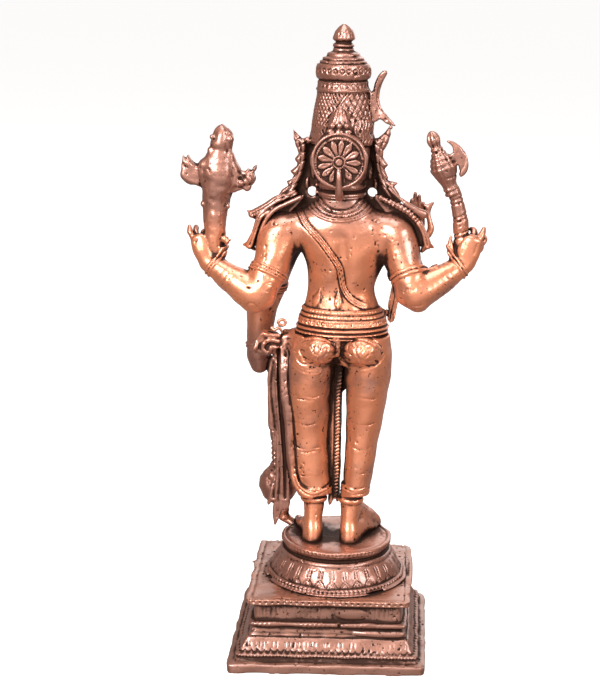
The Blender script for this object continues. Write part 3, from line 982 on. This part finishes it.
def right_carving(x, y, z):
    """Armlet, bracelets, the axe's banded shaft and faceted head, and the fluted ribbon end."""
    raised = bands(x, y, z, (
        ((-20.1, 5.7, 112.2), (-2.4, 2.6, -5.6), 1.25, 2), ((-33.9, 3.8, 114.4), (-7, -2.4, 5.2), 0.95, 2),
        ((-19.9, -14.2, 115.2), (-0.7, -2.4, 4.6), 0.8, 2), ((-17.4, -5.3, 110.6), (2.6, 2.4, 7), 1.0, 3),
    ))
    along = (x + 31.5) * 0.37 + (z - 134.9) * 0.93
    shaft = (np.abs(x + 33.4) < 3.6) * (y > -1)
    marks = sum(hill(along - at, 0.22) for at in (-1.7, -2.9, -6.6, -7.6, -11.0, -12.0))
    beads = hill(np.hypot(spaced(along, 1.3), x + 33.9), 0.35) * between(z, 124.5, 128)
    raised = raised - 0.35 * (marks + beads) * shaft * between(z, 121.8, 134.4)
    across = (x + 25.6) * 0.93 - (z - 149.6) * 0.37
    turn = np.arctan2(y - 2.4, across)
    bud = between(along, 13.8, 18) * (x > -28)
    head = between(along, 1.6, 12.2) * (np.abs(across) < 5) * (x > -33)
    raised = raised - bud * 0.4 * hill(spaced(turn, np.pi / 3) * 1.8, 0.3)
    raised = raised - head * 0.14 * hill(spaced(turn, np.pi / 7) * 3, 0.3)
    blade = (x < -29.4) * (z > 139.4) * (np.hypot(x + 29.3, z - 144.6) > 5.0)
    raised = raised - 0.25 * blade * hill(np.hypot(x + 29.3, z - 144.6) - 5.2, 0.25)
    flutes = hill(spaced(x + 0.2 * z, 0.9), 0.2) * (x > -18.5) * (z < 108) * (y < -4)
    palm = hill(np.abs(x + 36.2 + 0.25 * (z - 118)) - 1.7, 0.25) * between(z, 118.6, 121.6) * (y > 4.4)
    return raised - 0.3 * flutes - 0.16 * palm + 0.9 * casting_skin(x, y, z, 51)


right_wax.chase(right_carving, (-43, -19, 94), (-9, 14, 154), 1.7)
settle(right_wax.cast("right_arms", 100000))

# Head with its tall crown, the crescent, the disc behind the head, the hair at its sides and the shoulder ribbons.
head_wax = Wax((-28, -12.5, 115.5), (28, 15, 181.5), 0.23)
head_wax.add(stack([
    (132.1, -0.4, -2.2, 2.2, 3.0), (133.5, -0.4, -1.6, 4.0, 5.2), (136.1, -0.4, -0.9, 6.0, 7.0),
    (139.5, -0.4, -0.3, 7.3, 8.3), (144, -0.4, 0.1, 7.9, 8.7), (148, -0.4, 0.5, 8.0, 8.6),
    (151, -0.4, 0.6, 7.4, 8.0),
]))
head_wax.add(stack([(130.4, -0.5, 1.0, 5.9, 5.0), (138, -0.6, 1.0, 5.6, 4.9), (140, -0.6, 1.0, 5.5, 4.9)]), 0.3)
FACE_X = -0.4
head_wax.add(limb([(FACE_X, -8.3, 143.4, 0.5, 0.6), (FACE_X, -9.0, 141.2, 0.65, 0.8), (FACE_X, -9.6, 139.7, 0.95, 0.8)]),
             0.4)
head_wax.add(egg(FACE_X, -6.6, 134.6, 2.4, 2.0, 1.5), 0.8)
for lip_z, wide, tall in ((137.35, 1.9, 0.5), (136.45, 1.5, 0.55)):
    head_wax.add(egg(FACE_X, -8.0, lip_z, wide, 0.9, tall), 0.1)
for away in (-1, 1):
    head_wax.add(egg(FACE_X + away * 1.0, -8.9, 139.5, 0.65, 0.8, 0.55), 0.2)
    head_wax.add(egg(FACE_X + away * 3.6, -5.6, 138.6, 2.8, 2.4, 3.0), 1.2)
    head_wax.add(egg(FACE_X + away * 2.9, -7.5, 142.2, 1.7, 0.9, 0.85), 0.15)
    head_wax.add(limb([(FACE_X + away * 0.9, -8.4, 143.9, 0.3, 0.4), (FACE_X + away * 3.0, -8.0, 144.7, 0.35, 0.5),
                       (FACE_X + away * 5.4, -6.4, 143.9, 0.25, 0.3)]), 0.2)
    head_wax.add(egg(FACE_X + away * 7.8, 0.2, 140.8, 1.2, 1.5, 3.2), 0.3)
    head_wax.add(spun([(0, 0), (2.5, 0), (2.6, 0.7), (2.2, 1.2), (1.3, 0.9), (1.2, 1.5), (0, 1.8)],
                      (FACE_X + away * 8.2, -0.6, 136.6), (FACE_X + away * 9.2, -1.2, 136.6)), 0.1)
head_wax.add(egg(FACE_X, -9.0, 146.3, 0.45, 0.5, 0.9), 0.1)
CROWN_PROFILE = [
    (0, 148), (8.9, 148), (9.2, 148.9), (9.1, 149.8), (8.9, 150.3), (8.75, 153.6), (8.0, 158.2), (7.4, 162.4),
    (7.6, 162.9), (7.2, 163.3), (7.0, 165.0), (6.6, 165.3), (6.7, 165.6), (7.4, 166.1), (7.7, 167.4), (7.7, 168.6),
    (7.3, 169.8), (6.7, 170.0), (6.7, 170.5), (5.9, 170.9), (5.9, 171.4), (4.9, 171.8), (4.5, 172.6), (2.9, 173.4),
    (2.9, 173.9), (2.4, 174.15), (3.0, 174.5), (2.9, 175.0), (2.1, 175.4), (2.2, 175.8), (3.1, 176.4), (3.05, 177.0),
    (2.5, 178.5), (1.6, 179.6), (0.6, 180.4), (0, 180.5),
]
head_wax.add(spun(CROWN_PROFILE, (-0.3, 0.6, 0)))
head_wax.add(plate([
    (-5.6, 164.2), (-8.2, 162.4), (-9.0, 164.6), (-10.2, 167.0), (-11.6, 168.2), (-12.4, 167.6), (-11.2, 165.0),
    (-10.4, 162.4), (-10.5, 159.8), (-11.8, 156.8), (-15.2, 153.2), (-12.6, 153.8), (-10.8, 155.0), (-9.2, 154.2),
    (-6.6, 155.4),
], 0.8, 2.9), 0.3)
disc_foot, disc_tip = (-0.1, 7.6, 144.4), (-0.1, 8.6, 144.4)
head_wax.add(spun([(0, 0), (7.7, 0), (7.85, 3.6), (7.6, 4.3), (7.2, 4.4), (6.9, 4.2), (6.8, 3.75), (0, 3.9)],
                  disc_foot, disc_tip))
head_wax.add(limb([(-0.1, 11.4, 141.8, 0.7, 0.8), (-0.2, 12.0, 139.4, 0.85, 0.9), (-0.25, 11.7, 137.0, 1.0, 0.9),
                   (-0.3, 10.9, 135.0, 1.15, 0.9), (-0.3, 9.8, 133.8, 1.05, 0.8)]), 0.1)
head_wax.add(limb([(0.0, 8.8, 150.6, 3.2, 2.4), (0.0, 8.8, 153.4, 3.1, 2.2), (0.0, 8.5, 155.6, 2.5, 2.0),
                   (0.0, 8.1, 157.2, 1.4, 1.5), (0.0, 7.8, 158.2, 0.5, 0.8)]), 0.1)
for bead in (-1.9, 0, 1.9):
    head_wax.add(egg(bead, 11.1 - 0.12 * bead ** 2, 153.7, 0.8, 0.8, 0.8))
    head_wax.add(egg(1.2 * bead, 11.0 - 0.12 * bead ** 2, 152.2, 1.2, 0.8, 0.7), 0.1)

# Hair ornaments that stand at both sides of the head like leafy wings, pierced beside the neck.
WINGS = [
    [(5, 150.6), (8.4, 148.8), (9.8, 149.0), (11.4, 146.9), (11.8, 143.0), (12.4, 139.6), (13.8, 137.0),
     (15.0, 134.6), (17.4, 132.0), (16, 128), (5, 128)],
    [(-5, 150.6), (-8.4, 149.4), (-10.0, 149.0), (-11.4, 147.6), (-11.4, 143.8), (-12.2, 140.8), (-13.0, 138.0),
     (-14.4, 135.0), (-17.4, 132.4), (-16, 128), (-5, 128)],
]
WING_EDGES = [
    [(9.2, 149.6), (10.6, 149.2), (11.8, 150.4), (13.4, 152.0), (13.1, 149.0), (12.2, 146.2), (11.7, 145.0),
     (12.9, 143.4), (11.9, 142.2), (12.2, 141.4), (13.9, 140.0), (12.9, 138.8), (13.3, 138.0), (15.1, 137.1),
     (14.5, 136.0), (16.2, 134.8), (17.6, 132.2), (15.4, 130.6), (13.2, 133.4), (11.6, 136.4), (10.4, 139.6),
     (9.7, 143.0), (9.4, 146.4)],
    [(-9.0, 149.6), (-10.4, 149.8), (-12.0, 151.2), (-13.6, 153.2), (-13.9, 151.0), (-13.1, 148.2), (-12.0, 146.2),
     (-11.9, 144.4), (-13.3, 142.4), (-12.3, 141.2), (-13.7, 138.8), (-13.4, 138.2), (-16.4, 137.5), (-15.3, 136.4),
     (-16.6, 134.8), (-17.6, 132.4), (-15.4, 130.8), (-13.2, 133.6), (-11.6, 136.6), (-10.6, 139.8), (-9.9, 143.0),
     (-9.4, 146.4)],
]
for wing in WINGS:
    head_wax.add(plate(wing, -1.4, 0.6, smooth=False), 0.2)
for edge_line in WING_EDGES:
    head_wax.add(plate(edge_line, 1.0, 3.6, 1.2, smooth=False), 0.2)
head_wax.add(egg(-13.8, 2.8, 152.8, 0.6, 0.6, 0.6), 0.1)
head_wax.add(egg(8.9, 3.4, 148.9, 1.1, 1.1, 1.0), 0.2)
for side, hole_x in ((1, 7.8), (-1, -9.2)):
    head_wax.cut(spun([(0, 0), (1.3, 0), (1.3, 8), (0, 8)], (hole_x, -4, 134.2), (hole_x, -3, 134.2)), 0.2)

# Ribbons that fall from the hair ornaments over the shoulders, with flared ends.
for web in (
    [(10, 133.6), (24.2, 127.8), (23.0, 126.6), (23.2, 122.8), (24.6, 119.4), (22.8, 118.6), (20.4, 122.6), (14, 128)],
    [(-10, 134), (-22.6, 129.2), (-22.2, 127), (-24.4, 121.6), (-24.4, 119.8), (-22.6, 120), (-20, 123.4),
     (-14, 128)],
):
    head_wax.add(plate(web, 0.8, 2.6), 0.2)
RIBBONS = [
    [(12.6, 3.0, 133.9, 1.0, 1.2), (17.4, 3.6, 132.1, 1.05, 1.2), (20.6, 3.6, 129.9, 1.05, 1.2),
     (24.4, 3.0, 127.7, 1.2, 1.2)],
    [(18.4, 3.2, 130.0, 0.8, 1.2), (21.8, 3.8, 127.6, 0.95, 1.2), (22.8, 3.8, 125.2, 0.9, 1.2),
     (23.7, 3.6, 122.4, 0.9, 1.2), (25.0, 3.2, 118.9, 1.2, 1.2)],
    [(-20.8, 3.4, 128.6, 0.9, 1.2), (-22.4, 3.8, 126.6, 0.9, 1.2), (-23.9, 3.6, 123.8, 0.9, 1.2),
     (-25.0, 3.2, 120.2, 1.1, 1.2)],
]
for ribbon in RIBBONS:
    head_wax.add(limb(ribbon, (0, 0, 1)), 0.1)
for end in (
    [(24.0, 3.0, 127.9, 1.0, 1.0), (25.8, 3.0, 128.6, 0.3, 0.3)], [(24.2, 3.0, 127.6, 1.0, 1.0), (23.5, 3.0, 126.5, 0.4, 0.4)],
    [(25.0, 3.2, 119.2, 1.0, 1.0), (26.7, 3.0, 118.9, 0.35, 0.35)],
    [(24.8, 3.2, 119.0, 1.0, 1.0), (23.7, 3.0, 117.6, 0.45, 0.45)],
    [(-24.8, 3.2, 120.6, 1.0, 1.0), (-26.5, 3.0, 119.7, 0.4, 0.4)],
    [(-24.6, 3.2, 120.2, 1.0, 1.0), (-23.6, 3.0, 118.5, 0.45, 0.45)],
    [(-13.6, 4.0, 136.0, 0.5, 0.5), (-18.2, 4.8, 132.4, 0.6, 0.6), (-21.2, 4.8, 130.4, 0.9, 0.9),
     (-23.6, 4.2, 129.1, 1.3, 1.2)],
    [(-11.6, 4.4, 133.4, 0.8, 0.9), (-15.4, 4.8, 131.9, 0.9, 0.9), (-19.2, 4.8, 129.8, 0.95, 0.9),
     (-21.6, 4.4, 127.6, 0.9, 0.9)],
):
    head_wax.add(limb(end), 0.1)
head_wax.add(limb([(10.8, 4.4, 132.9, 0.6, 0.7), (14.4, 4.5, 131.2, 0.6, 0.7), (17.5, 4.5, 129.6, 0.6, 0.7),
                   (20.0, 4.4, 127.0, 0.6, 0.7), (21.4, 4.4, 124.1, 0.6, 0.7), (22.3, 4.2, 120.6, 0.5, 0.6)]), 0.1)


def head_carving(x, y, z):
    """The crown's rows of circles and its lattice, the disc's flower, the neck's folds and the leaves' veins."""
    turn = np.arctan2(x + 0.3, y - 0.6)
    radius = np.hypot(x + 0.3, y - 0.6)
    on_crown = (z > 150) & (radius < 9.6) & ((x > -7.9) | (np.abs(y - 1.8) > 1.9) | (z < 153))
    raised = on_crown * 0.0
    circle = np.hypot(spaced(turn, 2 * np.pi / 25) * 7.7, z - 168.1)
    raised = raised - on_crown * 0.4 * (hill(circle - 0.55, 0.2) + 0.4 * hill(circle, 0.2))
    circle = np.hypot(spaced(turn, 2 * np.pi / 28) * 7.1, z - 164.2)
    raised = raised - on_crown * (0.3 * hill(circle - 0.45, 0.2) + 0.25 * hill(circle, 0.2))
    on_bud = (y > 6) & (np.hypot(x / 3.5, (z - 151) / 7.8) < 1)
    cone = on_crown * between(z, 150.9, 162.3, 0.3) * ~on_bud
    behind = (y > 0) & (np.abs(turn) < 1.45)
    across = turn * 7.8
    divide = (across + 2.1) * 0.79 + (z - 162.5) * 0.61
    coarse = behind & (divide < 0)
    wide, tall = np.where(coarse, 1.95, 1.25), np.where(coarse, 3.1, 1.95)
    first, second = (across / wide + z / tall), (across / wide - z / tall)
    line_width = np.where(coarse, 0.16, 0.2)
    lattice = hill(spaced(first, 1), line_width) + hill(spaced(second, 1), line_width)
    pit = hill(np.hypot(spaced(first + 0.5, 1), spaced(second + 0.5, 1)), 0.22)
    locks = coarse & (z < 153.6 - 0.25 * across)
    lattice = np.where(locks, 0.6 * hill(spaced(across + 0.35 * np.sin(z * 1.6), 1.1), 0.22), lattice)
    top_strokes = behind & (divide > 0.5) & (z > 159.2) & (np.abs(across - 1.0) < 2.2)
    lattice = np.where(top_strokes, hill(spaced(across - 0.45 * (z - 160), 0.95), 0.24), lattice)
    edge = behind * (hill(divide - 0.3, 0.22) + hill(divide + 0.35, 0.22)) * (z > 153.5)
    clear = 1 - np.clip(hill(divide, 0.75) * behind, 0, 1)
    raised = raised - cone * (0.42 * np.clip(lattice, 0, 1) * clear + 0.24 * pit * clear + 0.4 * np.clip(edge, 0, 1))
    rope = hill(spaced(across + 0.6 * z, 1.3), 0.22) * between(z, 148.2, 149.8) * (radius < 10.4)
    raised = raised - 0.25 * rope
    hollow = (y > 1.6) & (x < -8.2) & (z > 154) & (z < 168)
    raised = raised - hollow * 0.8 * hill(np.hypot((x + 10.1) / 1.6, (z - 160.6) / 4.6), 1)
    bud = on_crown * between(z, 175.7, 180.4) * hill(spaced(turn, np.pi / 4) * 3, 0.3)
    raised = raised - 0.12 * bud
    for height in (173.1, 172.0, 170.9, 170.1):
        raised = raised - on_crown * 0.15 * hill(z - height, 0.2)
    front = (y < 0) & on_crown
    arch_x, arch_z = x + 0.3, z - 150.6
    for panel_x, wide, tall in ((0, 3.3, 10.5), (-5.8, 2.0, 6.5), (5.8, 2.0, 6.5)):
        arch = np.abs(arch_x - panel_x) / wide + (np.clip(arch_z, 0, 30) / tall) ** 1.6
        raised = raised * np.where(front & (arch < 1.12), 0.1, 1)
        raised = raised + front * np.clip((1 - arch) * 5, 0, 1) * 0.75 - front * 0.4 * hill(arch - 0.68, 0.09)
        raised = raised - front * 0.35 * hill(arch - 1.14, 0.08)
    gem = np.hypot((arch_x) / 1.0, (arch_z - 3.2) / 1.6)
    raised = raised + front * 0.5 * np.clip((1 - gem) * 3, 0, 1)
    for eye_x in (FACE_X - 2.9, FACE_X + 2.9):
        u, v = (x - eye_x) / 1.75, z - 142.2
        lid = hill(v + 0.15 - 0.35 * (1 - u * u) * -1, 0.14) + hill(v + 0.62 - 0.35 * u * u, 0.14)
        raised = raised - 0.22 * (y < -5.5) * (np.abs(u) < 1) * lid
    dx, dz = x + 0.1, z - 144.0
    reach, angle = np.hypot(dx, dz), np.arctan2(dx, dz)
    face = (y > 9.8) & (reach < 8.2)
    petal = spaced(angle + 0.12 + 0.03 * np.sin(3 * angle), 2 * np.pi / 13) * reach
    half = 0.23 * reach * np.clip((6.1 - reach) / 1.5, 0, 1) ** 0.6
    inside = np.clip((half - np.abs(petal)) / 0.2 + 0.5, 0, 1) * between(reach, 2.0, 6.0)
    flower = 0.34 * inside - 0.34 * hill(np.abs(petal) - half, 0.17) * between(reach, 2.1, 6.0)
    flower = flower - 0.25 * (1 - inside) * between(reach, 2.2, 6.1)
    flower = flower - 0.16 * hill(petal, 0.18) * between(reach, 3.2, 4.8)
    flower = flower + 0.7 * between(reach, 0, 1.8, 0.3) - 0.5 * hill(reach - 1.25, 0.2) + 0.3 * (reach < 0.9)
    strokes = hill(spaced(angle, np.pi / 30) * 6.4, 0.16)
    flower = flower + between(reach, 6.15, 6.7, 0.2) * (0.15 - 0.15 * strokes)
    ribbon = (np.abs(dx + 0.2) < 1.5) & (dz < -1.6)
    raised = raised + face * (~ribbon) * (reach < 6.7) * flower * (y < 12.4)
    dome = (y > 6) & (np.abs(dx) < 3.4) & (z > 154.4) & (z < 158.4)
    raised = raised - dome * 0.24 * hill(spaced(dx / (0.35 + 0.65 * np.clip((158.6 - z) / 3.8, 0, 1)), 1.3), 0.24)
    low_neck = (radius < 7.2) & (z < 137.8) & (y > 0)
    for height in (134.0, 136.1):
        raised = raised + low_neck * (0.9 * hill(z - height, 0.8) - 0.3 * hill(z - height + 1.1, 0.2))
    for points, here in ((RIBBONS[0], x > 0), (RIBBONS[1], x > 0), (RIBBONS[2], x < 0)):
        away, along = from_line([(point[0], point[2]) for point in points], x, z)
        groove = hill(away, 0.22) * here * (y > 3) * (along > 0.8) * (z < 133.6)
        raised = raised - 0.4 * groove
    beads, along = from_line([(-12.6, 133.0), (-15.4, 131.9), (-19.2, 129.8), (-21.6, 127.6)], x, z)
    raised = raised - 0.3 * (beads < 1.1) * (y > 4.2) * hill(spaced(along, 1.15), 0.22)
    wings = (np.abs(x) > 9) & (z > 131) & (z < 152) & (y > 2)
    vein, _ = from_line([(12.6, 150.6), (11.0, 147), (10.8, 143), (11.6, 139.6), (13.4, 136.2), (15.8, 132.6)], np.abs(x), z)
    twigs = hill(spaced(z + 0.8 * np.abs(x), 2.4), 0.22) * between(vein, 0.3, 2.4)
    raised = raised - 0.42 * wings * np.clip(hill(vein, 0.3) + 0.7 * twigs, 0, 1)
    return raised + 0.8 * casting_skin(x, y, z, 61)


head_wax.chase(head_carving, (-28, -12.5, 116), (28, 15, 181.5), 1.9)
settle(head_wax.cast("head_and_crown", 190000))

# Patina: what the whole casting has gathered where its forms close each other in. Every point of every piece looks
# about over some millimetres, and remembers how much of its outlook is blocked.
WAYS = 40
REACHES = [(0.8, 1), (1.6, 1), (2.6, 1), (4.0, 0.9), (6.0, 0.75), (9.0, 0.5), (13.0, 0.3)]
for wax, piece in waxes:
    mesh = piece.data
    places, outward = (np.empty(len(mesh.vertices) * 3, np.float32) for _ in range(2))
    mesh.vertices.foreach_get("co", places)
    mesh.vertex_normals.foreach_get("vector", outward)
    places, outward = places.reshape(-1, 3) / MM, outward.reshape(-1, 3)
    farthest = REACHES[-1][0]
    near = [other for other, _ in waxes
            if (other.low < places.max(0) + farthest).all()
            and (other.low + np.array(other.depth.shape) * other.step > places.min(0) - farthest).all()]
    blocked, whole = np.zeros(len(places)), np.zeros(len(places))
    for k in range(WAYS):
        height = (2 * k + 1) / WAYS - 1
        flat, turn = math.sqrt(1 - height ** 2), k * math.pi * (3 - math.sqrt(5))
        way = np.array([flat * math.cos(turn), flat * math.sin(turn), height], np.float32)
        facing = outward @ way
        seen = np.nonzero(facing > 0.1)[0]
        hit = np.zeros(len(seen))
        for reach, share in REACHES:
            spots = places[seen] + way * np.float32(reach)
            for other in near:
                hit = np.maximum(hit, share * other.filled(spots))
        blocked[seen] += facing[seen] * hit
        whole[seen] += facing[seen]
    kept = mesh.attributes.new("closed_in", "FLOAT", "POINT")
    kept.data.foreach_set("value", (blocked / np.maximum(whole, 1e-6)).astype(np.float32))
